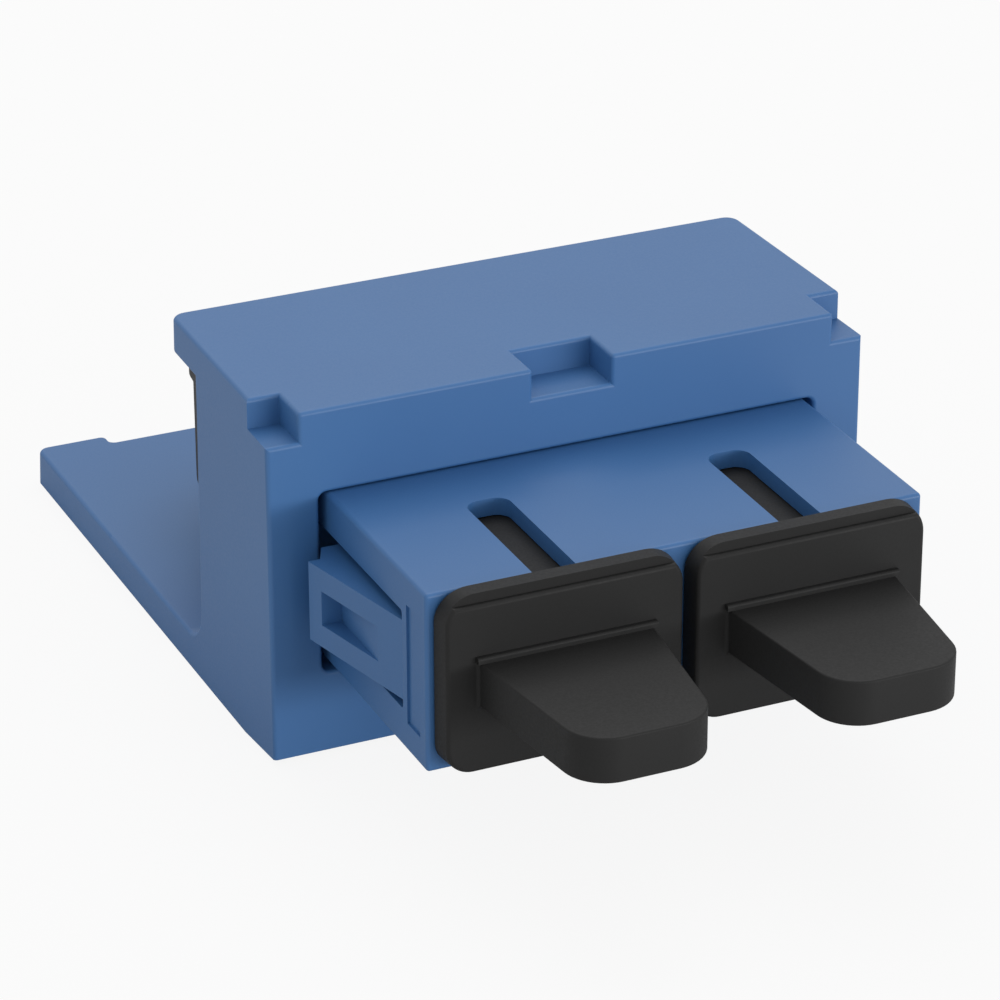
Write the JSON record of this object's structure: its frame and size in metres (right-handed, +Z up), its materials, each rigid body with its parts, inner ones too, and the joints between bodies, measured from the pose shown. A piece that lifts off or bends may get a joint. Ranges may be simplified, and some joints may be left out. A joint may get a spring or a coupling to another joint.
{
  "type": "sc fibre adapter",
  "caption": "Fibre-optic adapter snapped through a module housing with a long flat plate, with keyed ports closed by pull-off dust caps with flat handles.",
  "frame": {"origin": "middle of the flat underside of the housing's plate", "axes": "+X across the ports, +Y from the housing's front face to the back of its plate, +Z up"},
  "size_m": [0.0318, 0.0576, 0.0186],
  "materials": {
    "housing_blue": "fine satin moulded blue",
    "adapter_blue": "satin moulded blue",
    "cap_black": "soft black moulding with a dull sheen",
    "insert_white": "natural white moulding",
    "sleeve_ceramic": "ground white ceramic"
  },
  "bodies": {
    "adapter_in_housing": {"module_housing": "housing_blue", "adapter_front_shell": "adapter_blue", "adapter_rear_shell": "adapter_blue", "front_latch_insert_left": "insert_white", "front_latch_insert_right": "insert_white", "rear_latch_insert_left": "insert_white", "rear_latch_insert_right": "insert_white", "alignment_sleeve_left": "sleeve_ceramic", "alignment_sleeve_right": "sleeve_ceramic"},
    "front_cap_left": {"front_dust_cap_left": "cap_black"},
    "front_cap_right": {"front_dust_cap_right": "cap_black"},
    "rear_cap_left": {"rear_dust_cap_left": "cap_black"},
    "rear_cap_right": {"rear_dust_cap_right": "cap_black"}
  },
  "joints": [
    {"name": "front_cap_left_pull", "type": "slide", "parent": "adapter_in_housing", "child": "front_cap_left", "axis": [0, -1, 0], "range_m": [0, 0.012]},
    {"name": "front_cap_right_pull", "type": "slide", "parent": "adapter_in_housing", "child": "front_cap_right", "axis": [0, -1, 0], "range_m": [0, 0.012]},
    {"name": "rear_cap_left_pull", "type": "slide", "parent": "adapter_in_housing", "child": "rear_cap_left", "axis": [0, 1, 0], "range_m": [0, 0.012]},
    {"name": "rear_cap_right_pull", "type": "slide", "parent": "adapter_in_housing", "child": "rear_cap_right", "axis": [0, 1, 0], "range_m": [0, 0.012]}
  ]
}
